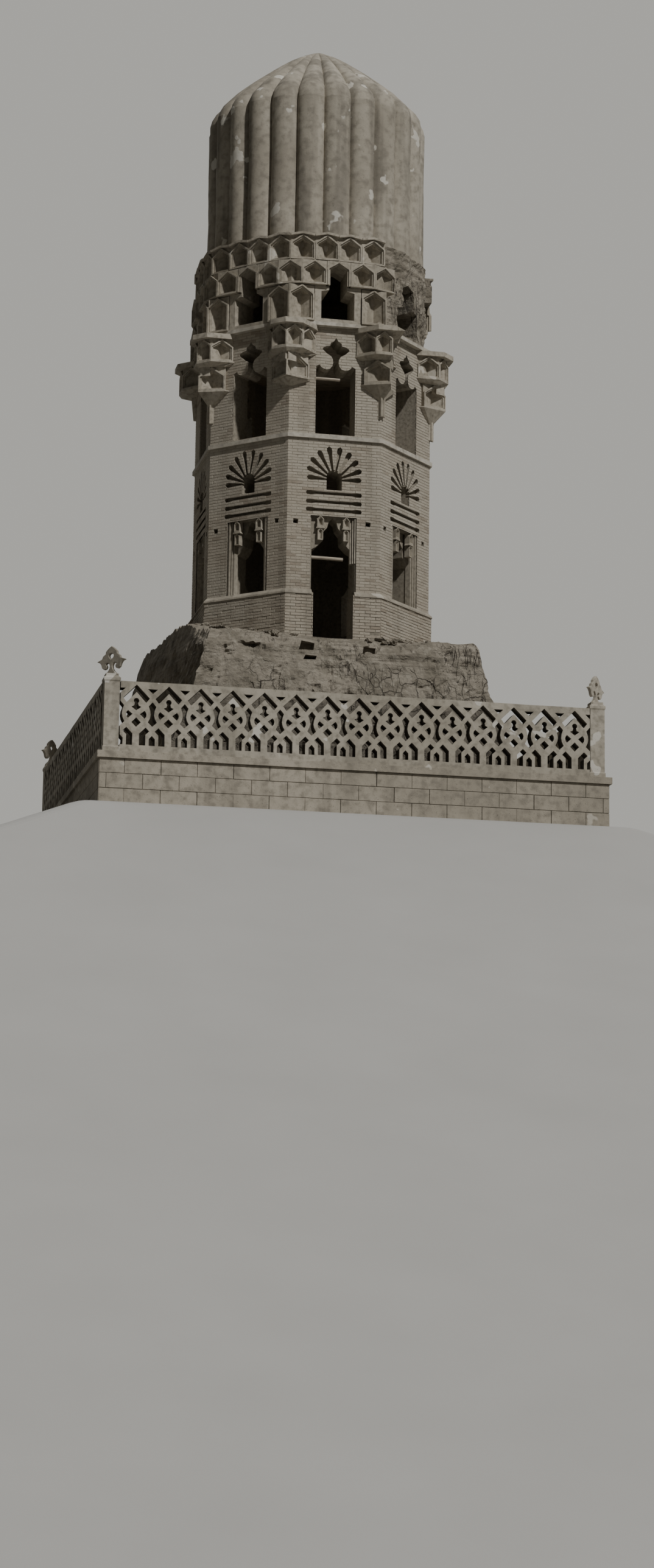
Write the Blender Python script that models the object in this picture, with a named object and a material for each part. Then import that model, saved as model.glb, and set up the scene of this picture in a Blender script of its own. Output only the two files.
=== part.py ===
# Octagonal brick minaret on a battered rubble socle, with a square terrace and its pierced parapet.
#
# Metres, +Z up. The origin is on the ground at the middle of the terrace block.
# The front is -Y: the door is in the front side of the octagon.
# The octagon's sides are counted from the front, turning towards +X.

import random
from math import atan2, cos, pi, radians, sin, tan

import bmesh
import bpy
from mathutils import Matrix

# Gap kept between touching solids, and how far a cutter runs past what it cuts
GAP = 0.0003
REACH = 0.10

# Terrace block and its parapet
BLOCK_HALF = 5.30
BLOCK_TOP = 0.92
KERB_TOP = 1.06
KERB_LIP = 0.07
PARAPET_TOP = 2.52
PARAPET_THICK = 0.27
PARAPET_FACE = 5.26
MODULES = 15
POST_SIDE = 0.34
POST_TOP = 2.66
FINIAL_TOP = 3.25

# Socle
SOCLE_LEVELS = ((KERB_TOP - 0.14 + GAP, 3.95), (2.15, 3.55), (3.25, 3.30), (3.95, 3.16))
SOCLE_STEPS = 48

# Octagonal shaft: levels, and the distance from the axis to a side
FOOT_Z = 4.30
STAGE_TOP = 5.30
STRING_Z = 8.75
STRING_TOP = 8.84
LEDGE_Z = 11.30
LEDGE_TOP = 11.38
HELMET_Z = 13.38
SHOULDER_Z = 16.72
SIDES = 8
TURN = 2 * pi / SIDES
CORNER_R = 2.70
SIDE_R = CORNER_R * cos(TURN / 2)
WALL_THICK = 0.55
STAGE_PROUD = 0.05

# Openings in the sides: half widths and levels
DOOR_HALF = 0.46
WINDOW_SILL = 5.36
WINDOW_SPRING = 6.30
HOOD_CENTRE_Z = 7.84
HOOD_R = 0.60
HOOD_RISE = 0.17
HOOD_RAYS = 10
FLUTE_DEPTH = 0.11
UPPER_HALF = 0.44
UPPER_SILL = STRING_TOP + 0.03
UPPER_LINTEL = 10.37

# Muqarnas tiers under the helmet: level, corner radius and side radius at the foot and at the top
CELLS = 32
DRUM_IN = 1.92
DRUM_OUT = 2.18
TIERS = (
    ("muqarnas_lower", LEDGE_TOP, 12.20, 2.82, 2.60, 3.05, 2.71),
    ("muqarnas_middle", 12.20, 12.78, 2.97, 2.70, 2.88, 2.70),
    ("muqarnas_upper", 12.78, HELMET_Z, 2.80, 2.67, 2.76, 2.66),
)

# Where the muqarnas is ruined, as angles from the front, and how far the masonry is set back there
RUIN_FROM = radians(27)
RUIN_TO = radians(82)
RUIN_DEPTH = 0.16

# Helmet
RIBS = 24
RIB_STEPS = 4
RIB_R = 2.48
GROOVE_DEPTH = 0.13
HELMET_IN = 2.08
CAP_PROFILE = ((2.50, SHOULDER_Z), (2.37, 17.02), (1.85, 17.54), (1.34, 17.96), (0.80, 18.38), (0.30, 18.66))
CAP_TOP = 18.80
CAP_THICK = 0.30

for old in list(bpy.data.objects):
    bpy.data.objects.remove(old, do_unlink=True)


# Materials

def material(name, colour, roughness):
    mat = bpy.data.materials.new(name)
    mat.use_nodes = True
    shader = mat.node_tree.nodes["Principled BSDF"]
    shader.inputs["Base Color"].default_value = (*colour, 1.0)
    shader.inputs["Roughness"].default_value = roughness
    shader.inputs["Metallic"].default_value = 0.0
    return mat


def copy_of(mat, name):
    twin = mat.copy()
    twin.name = name
    return twin


brick = material("brick", (0.42, 0.36, 0.27), 0.9)
plaster = material("plaster", (0.55, 0.49, 0.39), 0.85)
rubble = material("rubble", (0.40, 0.34, 0.26), 0.95)
stone = material("stone", (0.46, 0.41, 0.33), 0.9)
timber = material("timber", (0.36, 0.28, 0.20), 0.8)


# Solids

def finish(name, bm, mat):
    bmesh.ops.recalc_face_normals(bm, faces=bm.faces)
    mesh = bpy.data.meshes.new(name)
    bm.to_mesh(mesh)
    bm.free()
    mesh.materials.append(copy_of(mat, name + "_" + mat.name))
    obj = bpy.data.objects.new(name, mesh)
    bpy.context.collection.objects.link(obj)
    return obj


def loft(name, rings, mat):
    """A closed solid through rings of points, all with the same number of points."""
    bm = bmesh.new()
    loops = [[bm.verts.new(point) for point in ring] for ring in rings]
    count = len(loops[0])
    for low, high in zip(loops, loops[1:]):
        for i in range(count):
            j = (i + 1) % count
            bm.faces.new((low[i], low[j], high[j], high[i]))
    bm.faces.new(loops[0])
    bm.faces.new(loops[-1])
    return finish(name, bm, mat)


def upright(name, outline, low, high, mat):
    """A plan outline of (x, y) raised from one level to another."""
    return loft(name, [[(x, y, z) for x, y in outline] for z in (low, high)], mat)


def across(name, outline, near, far, mat):
    """An elevation outline of (x, z) pushed from one depth in y to another."""
    return loft(name, [[(x, y, z) for x, z in outline] for y in (near, far)], mat)


def hollow(name, outer, inner, levels, mat):
    """A ring wall: outer and inner plans at each level, closed at the foot and the top."""
    bm = bmesh.new()
    count = len(outer(levels[0]))
    outside = [[bm.verts.new((x, y, z)) for x, y in outer(z)] for z in levels]
    inside = [[bm.verts.new((x, y, z)) for x, y in inner(z)] for z in levels]
    for i in range(count):
        j = (i + 1) % count
        for low, high in zip(outside, outside[1:]):
            bm.faces.new((low[i], low[j], high[j], high[i]))
        for low, high in zip(inside, inside[1:]):
            bm.faces.new((high[i], high[j], low[j], low[i]))
        bm.faces.new((outside[0][j], outside[0][i], inside[0][i], inside[0][j]))
        bm.faces.new((outside[-1][i], outside[-1][j], inside[-1][j], inside[-1][i]))
    return finish(name, bm, mat)


def cut(target, cutters):
    """Cut every cutter out of the target with one exact Boolean, and drop the cutters."""
    bpy.ops.object.select_all(action="DESELECT")
    for cutter in cutters:
        cutter.select_set(True)
    bpy.context.view_layer.objects.active = cutters[0]
    if len(cutters) > 1:
        bpy.ops.object.join()
    tool = cutters[0]
    modifier = target.modifiers.new("cut", "BOOLEAN")
    modifier.operation = "DIFFERENCE"
    modifier.solver = "EXACT"
    modifier.use_self = True
    modifier.object = tool
    bpy.ops.object.select_all(action="DESELECT")
    target.select_set(True)
    bpy.context.view_layer.objects.active = target
    bpy.ops.object.modifier_apply(modifier=modifier.name)
    bpy.data.objects.remove(tool, do_unlink=True)
    return target


def copies(first, names, angles):
    """Copies of a piece turned about the tower's axis; the first takes the first name and angle."""
    made = []
    for name, angle in zip(names, angles):
        piece = first if not made else first.copy()
        if made:
            piece.data = first.data.copy()
            bpy.context.collection.objects.link(piece)
        made.append(piece)
        piece.name = name
        piece.data.name = name
    for piece, angle in zip(made, angles):
        piece.rotation_euler.z = angle
    return made


# Plans

def octagon(side_r):
    corner = side_r / cos(TURN / 2)
    angles = [TURN / 2 + k * TURN for k in range(SIDES)]
    return [(corner * sin(a), -corner * cos(a)) for a in angles]


def circle(radius, count, turn=0.0):
    angles = [2 * pi * k / count + turn for k in range(count)]
    return [(radius * sin(a), -radius * cos(a)) for a in angles]


def box_outline(low_x, high_x, low_z, high_z):
    return [(low_x, low_z), (high_x, low_z), (high_x, high_z), (low_x, high_z)]


def both(half):
    """An outline that is the same on both sides of its middle, from the points of its right half."""
    return half + [(-x, z) for x, z in half[::-1] if x > 0]


def moved(outline, across_by, up_by):
    return [(x + across_by, z + up_by) for x, z in outline]


def side_panel(outer_r, thick):
    """Plan of one side of the octagon, with mitred ends."""
    half_out = outer_r * tan(TURN / 2) - GAP / 2
    half_in = (outer_r - thick) * tan(TURN / 2) - GAP / 2
    inner_r = outer_r - thick
    return [(-half_out, -outer_r), (half_out, -outer_r), (half_in, -inner_r), (-half_in, -inner_r)]


# Terrace block: one mass of masonry with a projecting kerb course under the parapet

def square(half):
    return [(-half, -half), (half, -half), (half, half), (-half, half)]


upright("terrace_block", square(BLOCK_HALF), 0.0, BLOCK_TOP, stone)
hollow("kerb_course", lambda z: square(BLOCK_HALF + KERB_LIP), lambda z: square(PARAPET_FACE - 0.62),
       (BLOCK_TOP + GAP, KERB_TOP), stone)


# Parapet: one pierced panel a side between corner posts

def parapet_holes(centre):
    """Piercings of one module between straps of equal width; the waisted slot stands between two modules."""
    chevron = [(0.0, 1.24), (0.17, 1.07), (0.27, 1.12), (0.0, 1.39), (-0.27, 1.12), (-0.17, 1.07)]
    keyhole = [(0.10, 0.93), (0.0, 1.12), (-0.10, 0.93)]
    diamond = [(0.0, 0.525), (0.095, 0.62), (0.0, 0.715), (-0.095, 0.62)]
    hook = [(0.07, 0.155), (0.197, 0.155), (0.197, 0.37), (0.273, 0.445), (0.197, 0.52), (0.07, 0.39)]
    waisted = both([(0.0, 0.545), (0.09, 0.64), (0.035, 0.80), (0.076, 0.96), (0.0, 1.045)])
    hooks = [hook, [(-x, z) for x, z in hook]]
    holes = [chevron, keyhole, diamond, *hooks, moved(waisted, STEP / 2, 0.0)]
    return [moved(hole, centre, KERB_TOP) for hole in holes]


PANEL_HALF = PARAPET_FACE - POST_SIDE - GAP
STEP = 2 * PANEL_HALF / MODULES
BACK = PARAPET_THICK - PARAPET_FACE

panel = across("parapet_front", box_outline(-PANEL_HALF, PANEL_HALF, KERB_TOP + GAP, PARAPET_TOP),
               -PARAPET_FACE, BACK, stone)
outlines = []
for module in range(MODULES):
    outlines += parapet_holes((module - (MODULES - 1) / 2) * STEP)
# The last waisted slot would fall in the post
outlines.pop()
cut(panel, [across("piercing", hole, -PARAPET_FACE - REACH, BACK + REACH, stone) for hole in outlines])
quarters = (0.0, pi / 2, pi, -pi / 2)
copies(panel, ("parapet_front", "parapet_right", "parapet_back", "parapet_left"), quarters)


def corner_post(name, angle):
    """A square post with a cap and a three-lobed finial standing on the diagonal."""
    middle = PARAPET_FACE - POST_SIDE / 2
    half = POST_SIDE / 2
    profile = ((half, KERB_TOP + GAP), (half, POST_TOP), (0.09, POST_TOP + 0.06), (0.07, POST_TOP + 0.20),
               (0.17, POST_TOP + 0.32), (0.13, POST_TOP + 0.44), (0.04, FINIAL_TOP))
    corners = ((-1, -1), (1, -1), (1, 1), (-1, 1))
    rings = [[(middle + x * r, -middle + y * r, z) for x, y in corners] for r, z in profile]
    post = loft(name, rings, stone)
    post.rotation_euler.z = angle


post_names = ("post_front_right", "post_back_right", "post_back_left", "post_front_left")
for name, angle in zip(post_names, quarters):
    corner_post(name, angle)


# Socle: battered square mass of rubble, with debris heaped against the shaft's sides and back

def heap(angle):
    """Height of the debris against the shaft: none at the door, most behind on the left."""
    away = (1 - cos(angle)) / 2
    return 0.012 + 0.42 * min(1.0, away * 3.2) + 0.28 * away * max(0.0, -sin(angle - 0.35))


def on_square(angle, half):
    reach = half / max(abs(sin(angle)), abs(cos(angle)))
    return reach * sin(angle), -reach * cos(angle)


def socle():
    rng = random.Random(7)
    angles = [2 * pi * k / SOCLE_STEPS for k in range(SOCLE_STEPS)]
    corner = (SIDE_R + STAGE_PROUD + 0.012) / cos(TURN / 2)

    def on_octagon(angle, grow=0.0):
        inside = (angle + TURN / 2) % TURN - TURN / 2
        reach = (corner * cos(TURN / 2) + grow) / cos(inside)
        return reach * sin(angle), -reach * cos(angle)

    rings = []
    for z, half in SOCLE_LEVELS:
        ring = []
        for angle in angles:
            rough = 0.0 if z < BLOCK_TOP + 0.2 else rng.uniform(-0.06, 0.05)
            x, y = on_square(angle, half + rough)
            ring.append((x, y, z + (0.0 if rough == 0.0 else rng.uniform(-0.06, 0.06))))
        rings.append(ring)
    brow = []
    for angle in angles:
        x, y = on_square(angle, SOCLE_LEVELS[-1][1] - 0.16 + rng.uniform(-0.05, 0.04))
        brow.append((x, y, FOOT_Z - 0.24 + 0.85 * heap(angle) + rng.uniform(-0.04, 0.04)))
    rings.append(brow)
    rings.append([(*on_octagon(angle, 0.16), FOOT_Z + heap(angle) * 0.9) for angle in angles])
    rings.append([(*on_octagon(angle), FOOT_Z + heap(angle)) for angle in angles])
    rings.append([(*on_octagon(angle), FOOT_Z - GAP) for angle in angles])
    return loft("socle", rings, rubble)


socle()


# Shaft: foot stage, eight lower sides, string course, eight upper sides

SIDE_NAMES = ("front", "front_right", "right", "back_right", "back", "back_left", "left", "front_left")
SIDE_ANGLES = tuple(k * TURN for k in range(SIDES))


def door_head(sill, half):
    """Opening with a stepped pointed head."""
    steps = [(half * 0.80, 0.05), (0.22, 0.22), (0.22, 0.36), (0.09, 0.46), (0.08, 0.60), (0.0, 0.70)]
    return both([(half, sill), (half, WINDOW_SPRING)] + moved(steps, 0.0, WINDOW_SPRING))


def cusped_head(sill):
    """Tall opening whose head is pinched by two hanging round cusps under a pointed trefoil."""
    cusp = [(0.35, 0.08), (0.30, 0.03), (0.205, 0.0), (0.11, 0.05), (0.06, 0.16), (0.11, 0.27), (0.20, 0.33)]
    trefoil = [(0.30, 0.43), (0.22, 0.51), (0.13, 0.57), (0.0, 0.70)]
    return both([(UPPER_HALF, sill), (UPPER_HALF, UPPER_LINTEL)] + moved(cusp + trefoil, 0.0, UPPER_LINTEL))


def rays():
    """The radiating flutes of a hood and the level flutes below them."""
    outlines = []
    spread = radians(172)
    near = 0.25
    narrow, wide = 0.018, 0.050
    for k in range(HOOD_RAYS):
        angle = -spread / 2 + spread * k / (HOOD_RAYS - 1)
        far = HOOD_R + HOOD_RISE * cos(angle)
        flute = [(-narrow, near), (narrow, near), (wide, far - 0.05), (0.0, far), (-wide, far - 0.05)]
        turned = [(x * cos(angle) + r * sin(angle), r * cos(angle) - x * sin(angle)) for x, r in flute]
        outlines.append(moved(turned, 0.0, HOOD_CENTRE_Z))
    for z in (7.54, 7.345, 7.165):
        outlines.append(box_outline(-0.62, 0.62, z - 0.04, z + 0.04))
    return outlines


def lower_side(name, opening):
    wall = upright(name, side_panel(SIDE_R, WALL_THICK), STAGE_TOP + GAP, STRING_Z - GAP, brick)
    eye = both([(0.17, 7.62), (0.17, 7.96), (0.0, 8.08)])
    cut(wall, [across("flute", outline, -SIDE_R - REACH, FLUTE_DEPTH - SIDE_R, brick) for outline in rays()])
    for outline in (eye, opening):
        cut(wall, [across("opening", outline, -SIDE_R - REACH, WALL_THICK - SIDE_R + REACH, brick)])
    return wall


stage_plan = octagon(SIDE_R + STAGE_PROUD)
stage_inner = octagon(SIDE_R - WALL_THICK)
stage = hollow("foot_stage", lambda z: stage_plan, lambda z: stage_inner, (FOOT_Z, STAGE_TOP), brick)
foot_opening = box_outline(-UPPER_HALF, UPPER_HALF, FOOT_Z - 1, STAGE_TOP + 1)
cut(stage, [across("doorway", foot_opening, -SIDE_R - 0.5, WALL_THICK - SIDE_R + 0.3, brick)])

lower_side("lower_wall_front", door_head(STAGE_TOP - 0.5, DOOR_HALF))
windowed = lower_side("lower_wall_front_right", door_head(WINDOW_SILL, 0.40))
copies(windowed, ["lower_wall_" + name for name in SIDE_NAMES[1:]], SIDE_ANGLES[1:])

string_plan = octagon(SIDE_R + 0.05)
string_inner = octagon(SIDE_R - 0.30)
hollow("string_course", lambda z: string_plan, lambda z: string_inner, (STRING_Z, STRING_TOP), stone)
upright("floor_upper", octagon(SIDE_R - 0.30 - GAP), STRING_Z, STRING_TOP, timber)

upper = upright("upper_wall_front", side_panel(SIDE_R, WALL_THICK), STRING_TOP + GAP, LEDGE_Z - GAP, brick)
cut(upper, [across("opening", cusped_head(UPPER_SILL), -SIDE_R - REACH, WALL_THICK - SIDE_R + REACH, brick)])
copies(upper, ["upper_wall_" + name for name in SIDE_NAMES], SIDE_ANGLES)


# Corner brackets: corbelled cells growing out of each arris under the ledge
#
# Plans are points of (distance across the arris, distance from the axis) for one half.
# The lower tier is a right-angled wedge; the upper one has a cell along each side and splayed ones beside it.

STALK = ((0.0, 2.76), (0.03, 2.74), (0.055, 2.70))
LOWER_TIER = ((0.0, 3.05), (0.22, 2.83), (0.424, 2.626))
UPPER_TIER = ((0.0, 3.11), (0.351, 2.965), (0.545, 2.495))
SLAB_GROW = 1.035
WHOLE = ((9.35, STALK, 1.0), (9.72, STALK, 1.0), (10.02, LOWER_TIER, 1.0), (10.52, LOWER_TIER, 1.0))
BROKEN_FOOT = ((9.90, STALK, 1.0), (10.07, LOWER_TIER, 1.0), (10.52, LOWER_TIER, 1.0))
LOWER_LOST = ((10.05, STALK, 1.0), (10.30, STALK, 1.0))
TOP_LEVELS = ((10.66, UPPER_TIER, 1.0), (11.18, UPPER_TIER, 1.0), (11.20, UPPER_TIER, SLAB_GROW),
              (LEDGE_Z - GAP, UPPER_TIER, SLAB_GROW))
# Each facet's two plan points, then its niche's width, foot, top and depth
LOWER_FACETS = ((LOWER_TIER[0], LOWER_TIER[2], 0.44, 10.10, 10.50, 0.13),)
UPPER_FACETS = ((UPPER_TIER[0], UPPER_TIER[1], 0.27, 10.72, 11.12, 0.12),
                (UPPER_TIER[1], UPPER_TIER[2], 0.30, 10.72, 11.12, 0.10))


def arris_plan(half, grow):
    """Plan of a bracket wrapping the arris that faces -Y, from one half's points."""
    def on_wall(x):
        return CORNER_R + GAP / cos(TURN / 2) - abs(x) * tan(TURN / 2)

    right = [(x * grow, r * grow) for x, r in half]
    ends = right[-1][0] + 0.012
    ring = right + [(ends, on_wall(ends)), (0.0, on_wall(0.0)), (-ends, on_wall(ends))]
    ring += [(-x, r) for x, r in right[:0:-1]]
    return [(x, -r) for x, r in ring]


def niche(width, low, high, depth_from, depth_to, mat):
    """Cutter for a niche with a pointed head, looking along -Y."""
    half = width / 2
    rise = min(half * 0.9, (high - low) * 0.4)
    return across("niche", both([(half, low), (half, high - rise), (0.0, high)]), depth_from, depth_to, mat)


def facet_niche(first, second, width, low, high, depth):
    """A niche sunk square into the facet between two plan points."""
    middle = ((first[0] + second[0]) / 2, -(first[1] + second[1]) / 2)
    turn = atan2(first[1] - second[1], second[0] - first[0])
    tool = niche(width, low, high, -0.3, depth, plaster)
    tool.data.transform(Matrix.Translation((*middle, 0.0)) @ Matrix.Rotation(turn, 4, "Z"))
    return tool


def bracket(levels, facets):
    rings = [[(x, y, z) for x, y in arris_plan(half, grow)] for z, half, grow in levels]
    made = loft("bracket", rings, plaster)
    for first, second, *sizes in facets:
        cut(made, [facet_niche(first, second, *sizes)])
        cut(made, [facet_niche((-second[0], second[1]), (-first[0], first[1]), *sizes)])
    return made


brackets = {
    (1, 2, 3, 4, 5, 7): (WHOLE, LOWER_FACETS),
    (8,): (BROKEN_FOOT, LOWER_FACETS),
    (6,): (LOWER_LOST, ()),
}
for numbers, (levels, facets) in brackets.items():
    angles = [SIDE_ANGLES[number - 1] + TURN / 2 for number in numbers]
    copies(bracket(levels + TOP_LEVELS, facets + UPPER_FACETS), [f"bracket_{n}" for n in numbers], angles)


# Ledge and upper floor over the brackets

ledge_plan = octagon(SIDE_R + 0.12)
ledge_inner = octagon(SIDE_R - 0.45)
hollow("ledge", lambda z: ledge_plan, lambda z: ledge_inner, (LEDGE_Z, LEDGE_TOP), stone)
upright("floor_top", octagon(SIDE_R - 0.45 - GAP), LEDGE_Z, LEDGE_TOP, timber)


# Top storey: a round drum with eight windows, dressed with three tiers of muqarnas niches

def window_cutter(angle, near, far):
    outline = both([(0.37, LEDGE_TOP + 0.08), (0.37, 12.08), (0.20, 12.12), (0.20, 12.58), (0.0, 12.68)])
    tool = across("window", outline, near, far, brick)
    tool.data.transform(Matrix.Rotation(angle, 4, "Z"))
    return tool


drum = hollow("top_drum", lambda z: circle(DRUM_OUT, CELLS), lambda z: circle(DRUM_IN, CELLS),
              (LEDGE_TOP + GAP, HELMET_Z - GAP), brick)
cut(drum, [window_cutter(angle, -DRUM_OUT - 0.5, -DRUM_IN + 0.4) for angle in SIDE_ANGLES])


def ruined(angle):
    """True on the right of the front, where the cells have fallen and rough masonry is left."""
    return RUIN_FROM < angle % (2 * pi) < RUIN_TO


def tier_plan(corner_r, side_r):
    """Plan of a muqarnas tier with a point for each edge of a cell: octagonal, worn towards a circle."""
    points = []
    for k in range(CELLS):
        angle = 2 * pi * k / CELLS
        inside = (angle + TURN / 2) % TURN - TURN / 2
        blend = (1 - cos(inside)) / (1 - cos(TURN / 2))
        radius = min(side_r / cos(inside), side_r + (corner_r - side_r) * blend)
        if ruined(angle):
            radius = side_r - RUIN_DEPTH
        points.append((radius * sin(angle), -radius * cos(angle)))
    return points


for index, (name, low, high, corner_low, side_low, corner_high, side_high) in enumerate(TIERS):
    def outer(z, low=low, high=high, first=(corner_low, side_low), last=(corner_high, side_high)):
        t = (z - low) / (high - low)
        return tier_plan(*(a + (b - a) * t for a, b in zip(first, last)))

    tier = hollow(name, outer, lambda z: circle(DRUM_OUT + GAP, CELLS), (low + GAP, high - GAP), plaster)
    offset = 0.5 if index != 1 else 0.0
    tools = []
    for k in range(CELLS):
        angle = 2 * pi * (k + offset) / CELLS
        if not ruined(angle):
            tool = niche(0.30, low + 0.12, high - 0.06, -3.2, -2.36, plaster)
            tool.data.transform(Matrix.Rotation(angle, 4, "Z"))
            tools.append(tool)
    cut(tier, tools)
    if index < 2:
        cut(tier, [window_cutter(angle, -3.4, -DRUM_IN + 0.4) for angle in SIDE_ANGLES])


# Helmet: a ribbed shell and its conical cap

def ribbed():
    """Plan of the ribs: round fronts with a sharp groove between each two."""
    points = []
    for k in range(RIBS * RIB_STEPS):
        share = (k % RIB_STEPS) / RIB_STEPS
        radius = RIB_R - GROOVE_DEPTH * (1 - sin(pi * share) ** 0.6)
        angle = 2 * pi * (k / RIB_STEPS + 0.5) / RIBS
        points.append((radius * sin(angle), -radius * cos(angle)))
    return points


hollow("helmet", lambda z: ribbed(), lambda z: circle(HELMET_IN, RIBS * RIB_STEPS, pi / RIBS),
       (HELMET_Z, SHOULDER_Z - GAP), plaster)


def cap():
    bm = bmesh.new()
    inner_profile = [(HELMET_IN, SHOULDER_Z)]
    inner_profile += [(r - CAP_THICK, z - CAP_THICK * 0.9) for r, z in CAP_PROFILE[2:5]]
    outside = [[bm.verts.new((x, y, z)) for x, y in circle(r, CELLS)] for r, z in CAP_PROFILE]
    inside = [[bm.verts.new((x, y, z)) for x, y in circle(r, CELLS)] for r, z in inner_profile]
    tip = bm.verts.new((0, 0, CAP_TOP))
    crown = bm.verts.new((0, 0, CAP_TOP - CAP_THICK * 1.5))
    for i in range(CELLS):
        j = (i + 1) % CELLS
        for low, high in zip(outside, outside[1:]):
            bm.faces.new((low[i], low[j], high[j], high[i]))
        for low, high in zip(inside, inside[1:]):
            bm.faces.new((high[i], high[j], low[j], low[i]))
        bm.faces.new((outside[0][j], outside[0][i], inside[0][i], inside[0][j]))
        bm.faces.new((outside[-1][i], outside[-1][j], tip))
        bm.faces.new((inside[-1][j], inside[-1][i], crown))
    return finish("helmet_cap", bm, plaster)


cap()


# Timbers left across the door head and the front upper window

def beam(name, half, z, side):
    middle = -SIDE_R + 0.14
    outline = box_outline(-half, half, z - side / 2, z + side / 2)
    across(name, outline, middle - side / 2, middle + side / 2, timber)


beam("door_beam", DOOR_HALF - GAP, 6.12, 0.09)
beam("window_beam", UPPER_HALF - GAP, 10.16, 0.08)
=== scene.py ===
import random
from math import atan2, ceil, cos, floor, pi, radians, sin, tan

import bpy
from mathutils import Matrix, Vector, noise


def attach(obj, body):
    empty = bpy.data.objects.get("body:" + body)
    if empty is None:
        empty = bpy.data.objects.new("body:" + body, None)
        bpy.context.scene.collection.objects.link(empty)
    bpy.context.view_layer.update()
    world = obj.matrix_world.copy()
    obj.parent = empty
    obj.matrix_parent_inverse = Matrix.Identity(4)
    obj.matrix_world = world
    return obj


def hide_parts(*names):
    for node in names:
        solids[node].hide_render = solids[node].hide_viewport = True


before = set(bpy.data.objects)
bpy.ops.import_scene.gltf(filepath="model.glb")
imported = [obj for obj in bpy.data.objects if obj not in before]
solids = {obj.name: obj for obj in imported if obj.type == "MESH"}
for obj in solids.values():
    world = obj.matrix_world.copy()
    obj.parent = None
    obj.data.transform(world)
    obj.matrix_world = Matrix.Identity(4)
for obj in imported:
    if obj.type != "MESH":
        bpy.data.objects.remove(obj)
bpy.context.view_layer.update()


# Camera
# The plate was taken from a street well below the tower, so the camera looks up from under the terrace.
# It stands a little left of the door's axis, and the picture leans slightly.

def turned(angle):
    """A turn about the upright."""
    return Matrix.Rotation(angle, 4, "Z")


bpy.ops.object.select_all(action="DESELECT")
bpy.ops.object.camera_add(location=(-12.92, -62.99, -10.1))
camera = bpy.context.object
camera.name = "camera"
yaw = turned(radians(-12.0))
pitch = Matrix.Rotation(radians(100.3), 4, "X")
roll = turned(radians(0.85))
camera.rotation_euler = (yaw @ pitch @ roll).to_euler()
camera.data.lens = 67.78
camera.data.clip_end = 600.0
bpy.context.scene.camera = camera


# Light
# A soft key light from the right, as in the plate, a broad weak one from behind for the far sides, and a dim
# surround that fills the shadows. The surround is brighter to the camera, so that the backdrop stays pale.

for name, place, energy, spread, source in (
        ("key_light", (30.0, -38.0, 45.0), 2.6, 3.0, (sin(radians(25)), -cos(radians(25)), 0.95)),
        ("fill_light", (8.0, 40.0, 38.0), 0.8, 70.0, (0.25, 0.95, 0.9))):
    bpy.ops.object.light_add(type="SUN", location=place)
    sun = bpy.context.object
    sun.name = name
    sun.data.energy = energy
    sun.data.angle = radians(spread)
    sun.rotation_euler = Vector(source).to_track_quat("Z", "Y").to_euler()
surround = bpy.data.worlds.new("surround")
surround.use_nodes = True
backdrop = surround.node_tree.nodes["Background"]
backdrop.inputs["Color"].default_value = (0.60, 0.59, 0.55, 1.0)
seen = surround.node_tree.nodes.new("ShaderNodeLightPath")
level = surround.node_tree.nodes.new("ShaderNodeMapRange")
level.inputs["To Min"].default_value = 0.14
level.inputs["To Max"].default_value = 0.74
surround.node_tree.links.new(seen.outputs["Is Camera Ray"], level.inputs["Value"])
surround.node_tree.links.new(level.outputs["Result"], backdrop.inputs["Strength"])
bpy.context.scene.world = surround


# Ground
# A plain pale mound with a level top just wider than the terrace, falling away on all sides.
# It falls because the camera stands below it.

class Value:
    """A number that comes out of a shader node and takes part in plain arithmetic."""

    def __init__(self, finish, socket):
        self.finish = finish
        self.socket = socket

    def math(self, operation, first, second):
        return self.finish.add("ShaderNodeMath", {"operation": operation}, {0: first, 1: second})

    def __add__(self, other):
        return self.math("ADD", self, other)

    def __radd__(self, other):
        return self.math("ADD", other, self)

    def __sub__(self, other):
        return self.math("SUBTRACT", self, other)

    def __rsub__(self, other):
        return self.math("SUBTRACT", other, self)

    def __mul__(self, other):
        return self.math("MULTIPLY", self, other)

    def __rmul__(self, other):
        return self.math("MULTIPLY", other, self)


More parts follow.
